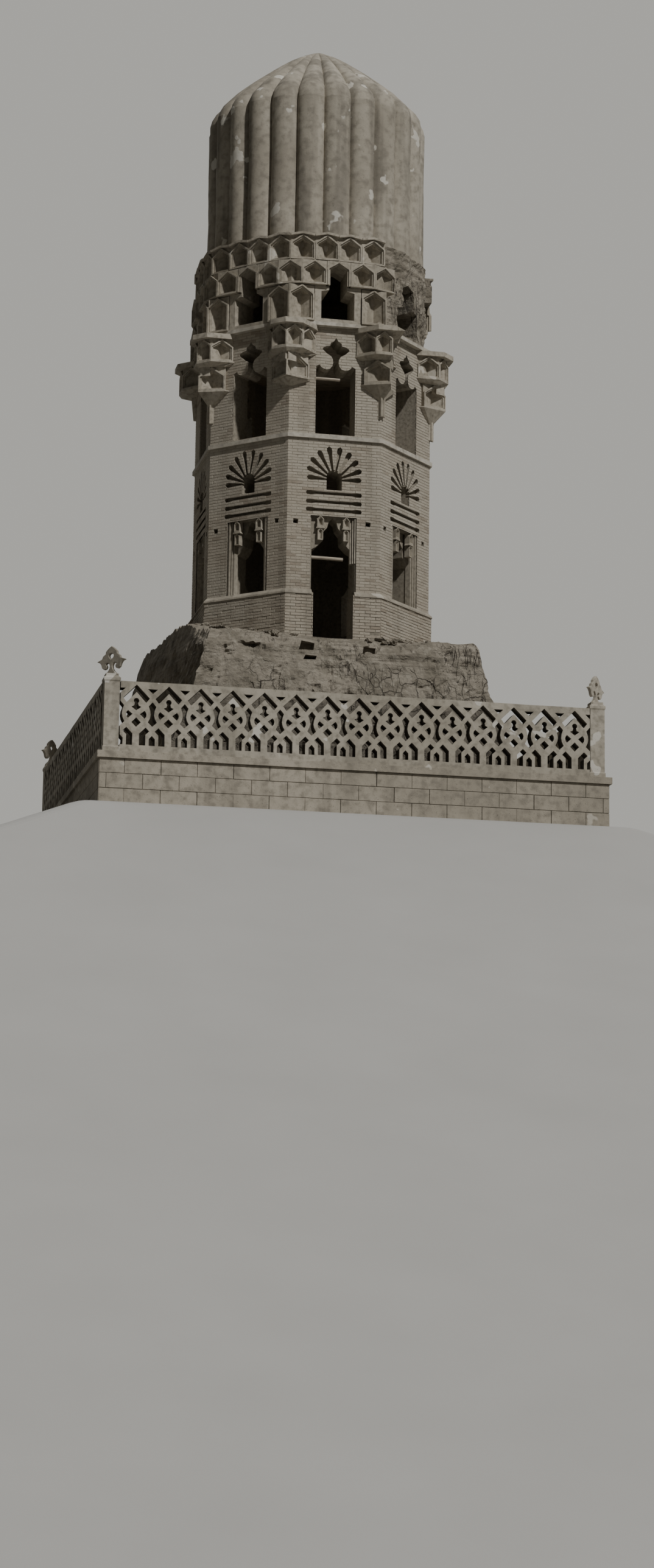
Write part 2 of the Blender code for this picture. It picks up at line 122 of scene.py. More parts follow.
class Finish:
    """A material whose nodes read the object's own coordinates in metres."""

    def __init__(self, name):
        self.material = bpy.data.materials.new(name)
        self.material.use_nodes = True
        self.tree = self.material.node_tree
        self.shader = self.tree.nodes["Principled BSDF"]
        self.place = self.add("ShaderNodeTexCoord", {}, {}, "Object")

    def feed(self, socket, value):
        if isinstance(value, Value):
            self.tree.links.new(value.socket, socket)
        elif socket.type == "RGBA":
            socket.default_value = (*value, 1.0)
        else:
            socket.default_value = value

    def add(self, kind, settings, sockets, output=0):
        node = self.tree.nodes.new(kind)
        for name, value in settings.items():
            setattr(node, name, value)
        for key, value in sockets.items():
            self.feed(node.inputs[key], value)
        return Value(self, node.outputs[output])

    def cloud(self, scale, detail=4.0, stretch=(1.0, 1.0, 1.0)):
        place = self.place
        if stretch != (1.0, 1.0, 1.0):
            place = self.add("ShaderNodeMapping", {}, {"Vector": place, "Scale": stretch})
        return self.add("ShaderNodeTexNoise", {}, {"Vector": place, "Scale": scale, "Detail": detail})

    def ramp(self, value, low, high):
        """0 below low and 1 above high, smooth between."""
        return self.add("ShaderNodeMapRange", {"interpolation_type": "SMOOTHSTEP"},
                        {"Value": value, "From Min": low, "From Max": high})

    def blotches(self, low, high, scale, detail, stretch=(1.0, 1.0, 1.0)):
        """Where a cloud is thick: 0 where it is below low and 1 above high."""
        return self.ramp(self.cloud(scale, detail, stretch), low, high)

    def along(self, axis):
        """Place along one axis in metres."""
        return self.add("ShaderNodeSeparateXYZ", {}, {"Vector": self.place}, axis)

    def mix(self, mask, first, second):
        return self.add("ShaderNodeMix", {"data_type": "RGBA"}, {0: mask, 6: first, 7: second}, 2)

    def over(self, colour, *layers):
        """A colour with others laid over it in turn, each through its mask."""
        for mask, layer in layers:
            colour = self.mix(mask, colour, layer)
        return colour

    def surface(self, colour, roughness, height, distance):
        bump = self.add("ShaderNodeBump", {}, {"Strength": 0.8, "Distance": distance, "Height": height})
        self.feed(self.shader.inputs["Base Color"], colour)
        self.feed(self.shader.inputs["Roughness"], roughness)
        self.feed(self.shader.inputs["Normal"], bump)
        self.shader.inputs["Specular IOR Level"].default_value = 0.25
        return self.material


def mode(name):
    bpy.ops.object.mode_set(mode=name)


def deselect():
    if bpy.context.object and bpy.context.object.mode != "OBJECT":
        mode("OBJECT")
    bpy.ops.object.select_all(action="DESELECT")


def coat(piece, *finishes):
    """Give a piece, or a solid of the model, its finishes in place of those it has."""
    piece.data.materials.clear()
    for finish in finishes:
        piece.data.materials.append(finish)


def edit_all():
    """Into edit mode with all of the piece at hand selected."""
    mode("EDIT")
    bpy.ops.mesh.select_all(action="SELECT")


deselect()
level_half = 5.75
fall = 34.0
bpy.ops.mesh.primitive_cone_add(vertices=4, radius1=(level_half + fall * 2.0) * 2 ** 0.5,
                                radius2=level_half * 2 ** 0.5, depth=fall, end_fill_type="NGON",
                                location=(0, 0, -fall / 2 - 0.001), rotation=(0, 0, pi / 4))
mound = bpy.context.object
mound.name = "ground"
bpy.ops.object.transform_apply(location=True, rotation=True, scale=True)
edit_all()
bpy.ops.mesh.bevel(offset=0.30, segments=4, affect="EDGES")
mode("OBJECT")
ground = Finish("pale_ground")
tone = ground.mix(ground.cloud(0.5), (0.40, 0.39, 0.365), (0.45, 0.44, 0.415))
coat(mound, ground.surface(tone, 0.95, ground.cloud(14.0), 0.002))


# Terrace block and kerb
# Squared limestone laid in three courses, with one moulded kerb course over it that carries the parapet.
# The joints stand open where the mortar has washed out.

def weathered(name, pale, deep, patch, grain, streaks, patches, relief):
    """Old masonry or plaster: two tones, fine grain, rain streaks and lighter patches where it has scaled."""
    old = Finish(name)
    fine = old.cloud(grain, 6.0)
    grit = old.cloud(grain * 6.0, 3.0)
    scaled = old.blotches(patches, patches + 0.025, 1.7, 3.0)
    pits = old.ramp(grit, 0.62, 0.75)

    def darker(share):
        return [c * share for c in deep]

    colour = old.over(old.mix(old.blotches(0.35, 0.68, 0.45, 5.0), pale, deep),
                      (old.ramp(fine, 0.40, 0.75) * 0.75, darker(0.62)),
                      (old.blotches(0.47, 0.66, 1.0, 5.0, (2.2, 2.2, 0.22)) * streaks, darker(0.38)),
                      (scaled * 0.8, patch),
                      (pits * 0.45, darker(0.45)))
    height = fine * 0.9 + grit * 0.35 - pits * 0.4 + scaled * 0.3
    return old.surface(colour, 0.96 - fine * 0.14, height, relief)


def picked(piece):
    """Select one piece alone and make it the active one."""
    deselect()
    piece.select_set(True)
    bpy.context.view_layer.objects.active = piece


def selected(piece, test):
    """In edit mode, select the faces whose middle and normal pass the test, and nothing else."""
    picked(piece)
    mode("EDIT")
    bpy.ops.mesh.select_mode(type="FACE")
    bpy.ops.mesh.select_all(action="DESELECT")
    mode("OBJECT")
    for face in piece.data.polygons:
        face.select = test(face.center, face.normal)
    mode("EDIT")


def arrayed(piece, count, step):
    array = piece.modifiers.new("laid", "ARRAY")
    array.use_relative_offset = False
    array.use_constant_offset = True
    array.constant_offset_displace = step
    array.count = count
    bpy.ops.object.modifier_apply(modifier=array.name)


def laid(name, width, low, high, length, course, joint, near, far, wear, seed):
    """Blocks laid in half bond on a wall that faces -Y, each a little out of true, trimmed at the ends."""
    rng = random.Random(seed)
    rows = max(1, round((high - low) / course))
    rise = (high - low) / rows
    count = ceil(width / length) + 2
    deselect()
    first = (-length * (count - 1) / 2, (near + far) / 2, low + rise / 2)
    bpy.ops.mesh.primitive_cube_add(size=1, location=first, scale=(length - joint, far - near, rise - joint))
    piece = bpy.context.object
    piece.name = name
    bpy.ops.object.transform_apply(location=True, scale=True)
    selected(piece, lambda middle, normal: normal.y < -0.5)
    bpy.ops.mesh.bevel(offset=min(joint, 0.02) * 0.5, segments=1, affect="EDGES")
    mode("OBJECT")
    corners = len(piece.data.vertices)
    arrayed(piece, count, (length, 0, 0))
    arrayed(piece, rows, (0, 0, rise))
    for block in range(count * rows):
        row = block // count
        sideways = length / 2 * (row % 2) + rng.uniform(-wear, wear) * 1.5
        out = rng.uniform(0.0, wear * 2.0)
        tip = rng.uniform(-wear, wear)
        for vertex in piece.data.vertices[block * corners:(block + 1) * corners]:
            vertex.co.x += sideways
            vertex.co.y += out
            vertex.co.z += tip * 0.5
    mode("EDIT")
    for side in (-1, 1):
        bpy.ops.mesh.select_all(action="SELECT")
        bpy.ops.mesh.bisect(plane_co=(side * width / 2, 0, 0), plane_no=(side, 0, 0),
                            use_fill=True, clear_outer=True)
    mode("OBJECT")
    tint = piece.data.attributes.new("tint", "FLOAT", "FACE")
    for face in piece.data.polygons:
        row = floor((face.center.z - low) / rise)
        along = floor((face.center.x + length * (count / 2 - (row % 2) / 2)) / length)
        tint.data[face.index].value = random.Random(seed * 7919 + row * 101 + along).random()
    return piece


def copied(piece, name, place):
    """A copy with its own mesh, moved by a matrix."""
    twin = piece.copy()
    twin.data = piece.data.copy()
    twin.name = name
    twin.data.name = name
    bpy.context.collection.objects.link(twin)
    twin.data.transform(place)
    if place.determinant() < 0:
        twin.data.flip_normals()
    return twin


def joined(name, parts):
    deselect()
    for part in parts:
        part.select_set(True)
    bpy.context.view_layer.objects.active = parts[0]
    if len(parts) > 1:
        bpy.ops.object.join()
    parts[0].name = name
    parts[0].data.name = name
    return parts[0]


limestone = weathered("weathered_limestone", (0.42, 0.375, 0.30), (0.32, 0.285, 0.225), (0.52, 0.48, 0.40),
                      grain=7.0, streaks=0.30, patches=0.66, relief=0.012)
ashlar_front = laid("terrace_ashlar", 10.62, 0.0, 0.92, length=0.74, course=0.305, joint=0.009,
                    near=-5.325, far=-5.24, wear=0.003, seed=3)
ashlar_sides = [copied(ashlar_front, "terrace_ashlar", turned(k * pi / 2)) for k in (1, 2, 3)]
ashlar = joined("terrace_ashlar", [ashlar_front] + ashlar_sides)
coat(ashlar, limestone)
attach(ashlar, "root")

paving = laid("terrace_paving", 9.24, -4.62, 4.62, length=0.86, course=0.62, joint=0.012,
              near=-0.935, far=-0.86, wear=0.003, seed=5)
paving.data.transform(Matrix.Rotation(-pi / 2, 4, "X"))
coat(paving, limestone)
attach(paving, "root")

joints = weathered("washed_out_joints", (0.27, 0.24, 0.19), (0.21, 0.185, 0.145), (0.32, 0.29, 0.24),
                   grain=14.0, streaks=0.2, patches=0.80, relief=0.01)
pale_render = weathered("pale_render", (0.56, 0.52, 0.44), (0.45, 0.41, 0.335), (0.66, 0.62, 0.54),
                        grain=9.0, streaks=0.2, patches=0.66, relief=0.01)
coat(solids["terrace_block"], joints)
coat(solids["kerb_course"], limestone)
coat(solids["string_course"], pale_render)
coat(solids["ledge"], pale_render)


# Parapet
# Pierced panels, about 1.5 m high, cut through in a strapwork of chevrons, diamonds and bent slots.
# Each is one carved slab between the corner posts; the pattern repeats fifteen times.

def flat(name, points):
    """A flat face with a corner at each point."""
    deselect()
    bpy.ops.mesh.primitive_circle_add(vertices=len(points), fill_type="NGON")
    piece = bpy.context.object
    piece.name = name
    for vertex, point in zip(piece.data.vertices, points):
        vertex.co = point
    return piece


def faced_out():
    """Turn all faces of the piece at hand outwards."""
    bpy.ops.mesh.select_all(action="SELECT")
    bpy.ops.mesh.normals_make_consistent(inside=False)
    mode("OBJECT")


def pushed(name, points, near, far):
    """A solid with an elevation outline of points (x, z), from one depth to another."""
    piece = flat(name, [(x, near, z) for x, z in points])
    edit_all()
    bpy.ops.mesh.extrude_region_move(TRANSFORM_OT_translate={"value": (0, far - near, 0)})
    faced_out()
    return piece


def dropped(*pieces):
    for piece in pieces:
        bpy.data.objects.remove(piece, do_unlink=True)


def cut(piece, tools):
    """Take the tools out of the piece with one exact Boolean."""
    tool = joined("tool", tools)
    boolean = piece.modifiers.new("cut", "BOOLEAN")
    boolean.operation = "DIFFERENCE"
    boolean.solver = "EXACT"
    boolean.object = tool
    picked(piece)
    bpy.ops.object.modifier_apply(modifier=boolean.name)
    dropped(tool)
    return piece


def mirrored(half):
    """An outline from its right half; points on the middle line aren't doubled."""
    return half + [(-x, z) for x, z in half[::-1] if x > 1e-6]


def bent(centre, radius, start, end, count):
    """Points on an arc in an elevation, by angles from the upright."""
    turns = [start + (end - start) * k / (count - 1) for k in range(count)]
    return [(centre[0] + radius * sin(radians(a)), centre[1] + radius * cos(radians(a))) for a in turns]


def boxed(half, low, high, middle=0.0):
    """An upright oblong outline."""
    return [(middle - half, low), (middle + half, low), (middle + half, high), (middle - half, high)]


def flipped(points):
    return [(-x, z) for x, z in points]


def shifted(points, x, z):
    return [(a + x, b + z) for a, b in points]


def worn_edges(piece, width, segments, sharp):
    """Round off every edge of the piece at hand that is sharper than an angle in degrees."""
    bevel = piece.modifiers.new("worn_edges", "BEVEL")
    bevel.width = width
    bevel.segments = segments
    bevel.limit_method = "ANGLE"
    bevel.angle_limit = radians(sharp)
    bpy.ops.object.modifier_apply(modifier=bevel.name)


REPEATS = 15
OUTER = 5.26
POST = 0.34
MODULE = 2 * (OUTER - POST) / REPEATS
chevron = mirrored([(0.0, 1.24), (0.165, 1.06), (0.20, 1.03), (0.27, 1.12), (0.0, 1.39)])
keyhole = mirrored([(0.0, 0.86), (0.10, 0.935), (0.045, 0.96)] + bent((0, 1.06), 0.055, 145, 0, 6))
cheek = [(0.076, 0.785), (0.17, 0.70), (0.20, 0.74), (0.208, 0.785), (0.20, 0.82), (0.17, 0.86)]
diamond = [(0.0, 0.526), (0.095, 0.621), (0.0, 0.716), (-0.095, 0.621)]
hook = [(0.07, 0.155), (0.197, 0.155), (0.197, 0.37), (0.273, 0.445), (0.197, 0.52), (0.07, 0.39)]
gable = [(-0.10, 1.317), (0.0, 1.223), (0.10, 1.317)]
waisted = mirrored([(0.0, 0.545), (0.09, 0.632), (0.05, 0.71), (0.034, 0.785), (0.045, 0.87),
                    (0.076, 0.959), (0.0, 1.047)])
house = mirrored([(0.06, 0.155), (0.06, 0.29), (0.0, 0.355)])
piercings = [chevron, keyhole, cheek, flipped(cheek), diamond, hook, flipped(hook)]
for side in (-1, 1):
    piercings += [shifted(hole, side * MODULE / 2, 0) for hole in (gable, waisted, house)]
module = pushed("module", boxed(MODULE / 2, 0.0, 1.46), -OUTER, -4.99)
cut(module, [pushed("hole", hole, -5.4, -4.8) for hole in piercings])
module.data.transform(Matrix.Translation((-(REPEATS // 2) * MODULE, 0, 1.0603)))
arrayed(module, REPEATS, (MODULE, 0, 0))
edit_all()
bpy.ops.mesh.remove_doubles(threshold=0.0005)
mode("OBJECT")
worn_edges(module, 0.007, 1, 50)
for vertex in module.data.vertices:
    vertex.co.z += noise.noise(vertex.co * 2.3) * 0.010
    vertex.co.x += noise.noise(vertex.co * 3.1 + Vector((9, 0, 0))) * 0.006
pierced_stone = weathered("pierced_stone", (0.45, 0.41, 0.335), (0.35, 0.315, 0.25), (0.62, 0.59, 0.52),
                          grain=9.0, streaks=0.35, patches=0.64, relief=0.010)
# Painted shade: a dark copy of the parapet stone for the reveals inside the holes, where shade falls.
hole_shade_stone = weathered("hole_shade_stone", (0.17, 0.15, 0.12), (0.11, 0.095, 0.075), (0.30, 0.27, 0.22),
                        grain=9.0, streaks=0.5, patches=0.74, relief=0.010)
coat(module, pierced_stone, hole_shade_stone)
# The faces inside the holes take the dark painted-shade stone; the rest keep the plain stone.
for face in module.data.polygons:
    in_hole = abs(face.normal.y) < 0.35 and 1.10 < face.center.z < 2.49
    face.material_index = 1 if in_hole else 0
for k, node in enumerate(("parapet_front", "parapet_right", "parapet_back", "parapet_left")):
    panel = copied(module, node + "_strapwork", turned(k * pi / 2))
    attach(panel, "root")
    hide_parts(node)
dropped(module)


# Corner posts
# Square stone posts with a chamfered cap, level with the top of the panels whose ends they take.
# Each carries a flat carved leaf with curled foot and pierced heart, set across the corner.

def raised(name, rings):
    """A closed solid built up ring by ring: each ring of points is extruded from the one below."""
    piece = flat(name, rings[0])
    for before, ring in zip(rings, rings[1:]):
        mode("EDIT")
        if before is rings[0]:
            bpy.ops.mesh.select_all(action="SELECT")
        bpy.ops.mesh.extrude_region_move()
        mode("OBJECT")
        for vertex in piece.data.vertices:
            if vertex.select:
                nearest = min(range(len(before)), key=lambda k: (Vector(before[k]) - vertex.co).length)
                vertex.co = ring[nearest]
    mode("EDIT")
    faced_out()
    return piece


def square_ring(x, y, half, z):
    return [(x + a * half, y + b * half, z) for a, b in ((-1, -1), (1, -1), (1, 1), (-1, 1))]


centre = (5.09, -5.09)
post_profile = ((0.17, 1.0603), (0.17, 1.16), (0.155, 1.18), (0.155, 2.50), (0.17, 2.53), (0.17, 2.58),
                (0.13, 2.62), (0.13, 2.67))
shaft = raised("post", [square_ring(*centre, half, z) for half, z in post_profile])
foot_curl = [(0.18, 0.0), (0.13, 0.045), (0.08, 0.085), (0.04, 0.14), (0.03, 0.20), (0.055, 0.25),
             (0.10, 0.262), (0.135, 0.24), (0.115, 0.215), (0.105, 0.185), (0.125, 0.145), (0.175, 0.13),
             (0.224, 0.165), (0.249, 0.235)]
blade = [(0.29, 0.285), (0.36, 0.305), (0.29, 0.335), (0.231, 0.355), (0.21, 0.41), (0.147, 0.45),
         (0.14, 0.50), (0.077, 0.56), (0.0, 0.61)]
heart = mirrored([(0.0, 0.325), (0.055, 0.385), (0.062, 0.415), (0.042, 0.445), (0.0, 0.458)])
leaf_foot = 2.645
leaf = pushed("leaf", shifted(mirrored(foot_curl + blade), 0.0, leaf_foot), -0.035, 0.035)
cut(leaf, [pushed("heart", shifted(heart, 0.0, leaf_foot), -0.2, 0.2)])
worn_edges(leaf, 0.012, 2, 30)
leaf.data.transform(Matrix.Translation((*centre, 0)) @ turned(pi / 4))
post = joined("post", [shaft, leaf])
coat(post, pierced_stone)
for k, node in enumerate(("post_front_right", "post_back_right", "post_back_left", "post_front_left")):
    standing = copied(post, node + "_carved", turned(k * pi / 2))
    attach(standing, "root")
    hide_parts(node)
dropped(post)


# Socle
# A battered square mass of rubble and lime mortar, its render cracked and fallen, so that stones show.
# Its left side leans in at the front end and rises and swells out towards the back.
# Earth and brick waste lie heaped against the octagon on its top, most of all behind.

def wrapped(name, around, along, place):
    """A sheet of faces bent round into a closed skin: place gives the point for each step round and along."""
    deselect()
    bpy.ops.mesh.primitive_grid_add(x_subdivisions=around, y_subdivisions=along, size=2)
    piece = bpy.context.object
    piece.name = name
    points = {}
    for vertex in piece.data.vertices:
        i = round((vertex.co.x + 1) / 2 * around) % around
        j = round((vertex.co.y + 1) / 2 * along)
        if (i, j) not in points:
            points[i, j] = place(i, j)
        vertex.co = points[i, j]
    edit_all()
    bpy.ops.mesh.remove_doubles(threshold=0.0002)
    faced_out()
    return piece


def heap(angle):
    """Height of the waste against the octagon: none at the door, most behind on the left."""
    away = (1 - cos(angle)) / 2
    return 0.012 + 0.42 * min(1.0, away * 3.2) + 0.28 * away * max(0.0, -sin(angle - 0.35))


def at_turn(angle, reach, z):
    """The point at a distance from the middle, at an angle from the door's side."""
    return Vector((reach * sin(angle), -reach * cos(angle), z))


def on_square(angle, half, z):
    return at_turn(angle, half / max(abs(sin(angle)), abs(cos(angle))), z)


def off_side(angle):
    """How far an angle lies from the middle of its side of the octagon."""
    return (angle + pi / 8) % (pi / 4) - pi / 8


def on_octagon(angle, side, z):
    return at_turn(angle, side / cos(off_side(angle)), z)


def clamped(share):
    return min(1.0, max(0.0, share))


AROUND = 480
SIDE_ROWS = 56
TOP_ROWS = 8
BROW_AT = 0.375
BATTER = ((0.9203, 3.95), (2.15, 3.55), (3.25, 3.30), (3.95, 3.16))
FOOT, RIM = BATTER[0][0], BATTER[-1]
WASTE_Z = 4.30
UNDERSIDE = 4.2997
OCTAGON = 2.5565


def batter_at(z):
    for (low, wide), (high, narrow) in zip(BATTER, BATTER[1:]):
        if z <= high:
            return wide + (narrow - wide) * (z - low) / (high - low)
    return RIM[1]


def stretched(point, across, up, seed):
    return noise.noise(Vector((point.x * across + seed, point.y * across, point.z * up)))


def groove(distance, reach, depth):
    """Depth of a groove, or a round dent, at a distance from its bottom."""
    return max(0.0, 1.0 - abs(distance) / reach) * depth


def rough(point):
    """How far the worn mass is out of true: swells, layers above, cracks, pockets, and stones below."""
    swell = noise.noise(point * 0.55) * 0.07 + noise.noise(point * 1.7) * 0.05
    high = clamped((point.z - 3.35) / 0.4)
    layers = stretched(point, 0.7, 6.0, 4.0) * (0.010 + 0.035 * high)
    stony = clamped(noise.noise(point * 0.7 + Vector((2, 4, 9))) * 3.0 + 0.7) * (1 - high)
    bend = Vector((noise.noise(point * 1.9), noise.noise(point * 1.9 + Vector((8, 0, 0))), 0.0)) * 0.6
    spans, centres = noise.voronoi(Vector((point.x * 2.7, point.y * 2.7, point.z * 1.9)) + bend)
    stone = noise.noise(centres[0] * 5.3) * 0.06 - groove(spans[1] - spans[0], 0.22, 0.055)
    hollow = groove((point - Vector((-2.15, -3.15, 4.02))).length, 0.45, 0.30)
    bare = clamped(noise.noise(point * 0.8 + Vector((3, 7, 1))) * 2.5 + 0.55)
    crack = groove(stretched(point, 2.9, 0.9, 11.0), 0.08, 0.055)
    slant = groove(noise.noise(point * 1.5 + Vector((0, 0, point.x + point.y))), 0.05, 0.045)
    pocket = max(0.0, noise.noise(point * 2.6 + Vector((5, 1, 8))) - 0.42) * 0.35
    lumps = noise.noise(point * 5.0) * 0.035 + noise.noise(point * 11.0) * 0.018
    return swell + layers - (crack + slant) * bare - pocket + lumps * (0.5 + bare) + stone * stony - hollow


def lopsided(point, share):
    """The left side leans in at the front end, swells out at the back one, and rises behind its front end."""
    left = clamped(-point.x / RIM[1])
    back = min(1.0, max(-1.0, point.y / RIM[1]))
    rise = clamped((point.z - 0.92) / 3.0)
    across = 0.30 * max(0.0, -back) * rise - 0.28 * max(0.0, back) * min(1.0, rise * 4)
    return point + Vector((across * left, 0, 0.34 * left * min(1.0, back + 1) * rise)) * share


def brow_at(angle):
    """The edge of the level top, where it begins to fall to the battered sides."""
    return on_square(angle, 3.00, 4.06 + 0.85 * heap(angle))


def socle_point(i, j):
    angle = 2 * pi * i / AROUND
    if j == 0:
        return Vector((0, 0, FOOT))
    if j <= SIDE_ROWS:
        z = FOOT + (RIM[0] - FOOT) * (j - 1) / (SIDE_ROWS - 1)
        point = on_square(angle, batter_at(z), z)
        out = Vector((point.x, point.y, 0)).normalized()
        return lopsided(point + out * (rough(point) - 0.015) * min(1.0, (z - 0.92) * 6), 1.0)
    if j <= SIDE_ROWS + TOP_ROWS:
        t = (j - SIDE_ROWS) / TOP_ROWS
        brow = brow_at(angle)
        if t < BROW_AT:
            point = on_square(angle, RIM[1], RIM[0]).lerp(brow, t / BROW_AT)
        else:
            edge = on_octagon(angle, OCTAGON, WASTE_Z + heap(angle))
            point = brow.lerp(edge, (t - BROW_AT) / (1 - BROW_AT))
        loose = rough(point * 1.6) * (1 - max(0.0, t - 0.6) / 0.4)
        return lopsided(point + Vector((0, 0, loose + 0.015 * (1 - t))), min(1.0, (1 - t) / (1 - BROW_AT)))
    if j == SIDE_ROWS + TOP_ROWS + 1:
        return on_octagon(angle, OCTAGON, UNDERSIDE)
    return Vector((0, 0, UNDERSIDE))


rubble = Finish("cracked_rubble")
upright_cracks = rubble.cloud(1.0, 3.0, (4.0, 4.0, 0.45))
fine_cracks = rubble.cloud(3.2, 6.0)
cracks = rubble.ramp(upright_cracks, 0.512, 0.526) - rubble.ramp(upright_cracks, 0.526, 0.540)
hairs = rubble.ramp(fine_cracks, 0.488, 0.500) - rubble.ramp(fine_cracks, 0.500, 0.512)
bare = rubble.blotches(0.48, 0.60, 0.8, 4.0)
above = rubble.ramp(rubble.along("Z"), 3.20, 3.75)
layers = rubble.cloud(1.0, 8.0, (1.6, 1.6, 11.0)) * (above * 0.75 + 0.25)
swirl = rubble.add("ShaderNodeTexNoise", {}, {"Vector": rubble.place, "Scale": 2.4, "Detail": 3.0}, "Color")
slender = rubble.add("ShaderNodeMapping", {}, {"Vector": rubble.place, "Scale": (2.9, 2.9, 1.9)})
swayed = rubble.add("ShaderNodeVectorMath", {"operation": "MULTIPLY_ADD"},
                    {0: swirl, 1: (0.9, 0.9, 0.9), 2: slender})
edges = rubble.add("ShaderNodeTexVoronoi", {"feature": "DISTANCE_TO_EDGE"},
                   {"Vector": swayed, "Scale": 1.0}, "Distance")
seams = (1.0 - rubble.ramp(edges, 0.006, 0.040)) * rubble.blotches(0.44, 0.56, 0.75, 3.0) * (1.0 - above)
# Painted shade: the socle is darkened below about 3 m, most towards the front, where it is seen through the
# parapet's holes.
low_painted_shade = 1.0 - rubble.ramp(rubble.along("Z") + rubble.cloud(1.1, 6.0) * 0.8, 2.95, 3.50)
shaded = rubble.ramp(0.0 - rubble.along("Y") + rubble.cloud(0.6, 4.0) * 1.2, 2.6, 4.0) * 0.5 + 0.25
tone = rubble.mix(rubble.blotches(0.34, 0.68, 2.2, 7.0), (0.295, 0.262, 0.21), (0.19, 0.168, 0.13))
tone = rubble.over(tone,
                   (rubble.ramp(layers, 0.50, 0.62) * 0.55, (0.15, 0.13, 0.10)),
                   (rubble.blotches(0.52, 0.70, 7.0, 5.0) * 0.35, (0.43, 0.395, 0.325)),
                   (cracks * bare * 0.85, (0.085, 0.07, 0.055)),
                   (hairs * bare * 0.3, (0.14, 0.12, 0.09)),
                   (seams * 0.5, (0.10, 0.085, 0.065)),
                   (rubble.blotches(0.58, 0.72, 42.0, 3.0) * 0.5, (0.14, 0.12, 0.09)),
                   # the painted shade colour low on the socle, strongest at the front
                   (low_painted_shade * shaded, (0.08, 0.07, 0.055)))
relief = rubble.cloud(6.0, 9.0) * 0.9 + layers * 0.5 - cracks * bare * 0.5 - hairs * bare * 0.2
relief = relief - seams * 0.6 + rubble.cloud(40.0, 3.0) * 0.12
rubble_finish = rubble.surface(tone, 0.97, relief, 0.11)

socle = wrapped("socle_rubble", AROUND, SIDE_ROWS + TOP_ROWS + 2, socle_point)
sockets = ((-0.68, 3.99, 0.18, 0.11), (0.69, 3.98, 0.17, 0.11), (-0.62, 3.72, 0.15, 0.055))
for x, z, across, up in sockets:
    mouth = [(x - across, z - up), (x + across * 0.8, z - up * 0.9), (x + across, z + up * 0.7),
             (x - across * 0.6, z + up)]
    cut(socle, [pushed("socket", mouth, -3.9, -2.85)])
coat(socle, rubble_finish)
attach(socle, "root")
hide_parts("socle")

deselect()
bpy.ops.mesh.primitive_ico_sphere_add(subdivisions=2, radius=0.5)
lump = bpy.context.object
for vertex in lump.data.vertices:
    vertex.co += vertex.co * noise.noise(vertex.co * 2.1) * 0.9
rng = random.Random(23)
waste = []
for _ in range(170):
    angle = rng.uniform(0, 2 * pi)
    if abs((angle + pi) % (2 * pi) - pi) < 0.22:
        continue
    t = rng.uniform(0.42, 0.97)
    spot = lopsided(brow_at(angle).lerp(on_octagon(angle, 2.62, WASTE_Z + heap(angle)), t), 1 - t)
    size = rng.uniform(0.05, 0.15)
    tilt = turned(rng.uniform(0, pi)) @ Matrix.Rotation(rng.uniform(-0.4, 0.4), 4, "X")
    shape = Matrix.Diagonal((size * rng.uniform(0.9, 1.6), size, size * 0.7, 1.0))
    waste.append(copied(lump, "waste", Matrix.Translation(spot) @ tilt @ shape))
dropped(lump)
fallen = joined("fallen_stones", waste)
coat(fallen, rubble_finish)
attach(fallen, "root")


# Octagonal shaft
# Thin fired bricks, about 24 by 5.5 cm on the face, laid in half bond over a core of the same brickwork.
# The core shows as sunk mortar in the joints and in the cut openings.

SIDE = 2.4945
CORNER_TURN = tan(pi / 8)
BRICK = 0.235
COURSE = 0.065
JOINT = 0.008
OUTSIDE = -2.8
brick = Finish("thin_fired_brick")
tint = brick.add("ShaderNodeAttribute", {"attribute_name": "tint"}, {}, "Fac")
lime = brick.blotches(0.44, 0.60, 0.7, 5.0)
pitted = brick.blotches(0.58, 0.72, 48.0, 3.0)
colour = brick.mix(brick.ramp(tint, 0.0, 1.0), (0.42, 0.375, 0.30), (0.36, 0.315, 0.25))
colour = brick.over(colour,
                    (brick.ramp(tint, 0.90, 0.93) * 0.42, (0.23, 0.185, 0.135)),
                    (lime * 0.45, (0.47, 0.435, 0.36)),
                    (brick.blotches(0.50, 0.68, 1.0, 5.0, (2.0, 2.0, 0.25)) * 0.35, (0.17, 0.145, 0.11)),
                    (pitted * 0.4, (0.19, 0.16, 0.12)))
brick_face = brick.surface(colour, 0.95, brick.cloud(26.0, 5.0) - pitted * 0.5, 0.008)
mortar = weathered("sunk_mortar", (0.39, 0.35, 0.28), (0.30, 0.265, 0.205), (0.46, 0.42, 0.345),
                   grain=16.0, streaks=0.35, patches=0.70, relief=0.010)


def carved(wall, outlines, depth):
    """Cut elevation outlines into a wall, from outside its face to a depth in y."""
    cut(wall, [pushed("hollow", outline, OUTSIDE, depth) for outline in outlines])


SIDES = ("front", "front_right", "right", "back_right", "back", "back_left", "left", "front_left")
TURNS = {side: k * pi / 4 for k, side in enumerate(SIDES)}

foot_face = SIDE + 0.05
foot_sides = []
for k, side in enumerate(SIDES):
    ground_line = 4.30 if side == "front" else 4.34
    facing = laid("foot_facing", 2 * foot_face * CORNER_TURN, ground_line, 5.295, BRICK, COURSE, JOINT,
                  near=-foot_face - 0.016, far=-foot_face + 0.02, wear=0.0045, seed=40 + k)
    if side == "front":
        carved(facing, [boxed(0.44, 4.0, 5.6)], -2.0)
    foot_sides.append(copied(facing, "foot_facing", turned(TURNS[side])))
    dropped(facing)
foot = joined("foot_facing", foot_sides)
coat(foot, brick_face)
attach(foot, "root")


def on_plan(side, z):
    return [at_turn((k + 0.5) * pi / 4, side / cos(pi / 8), z) for k in range(8)]


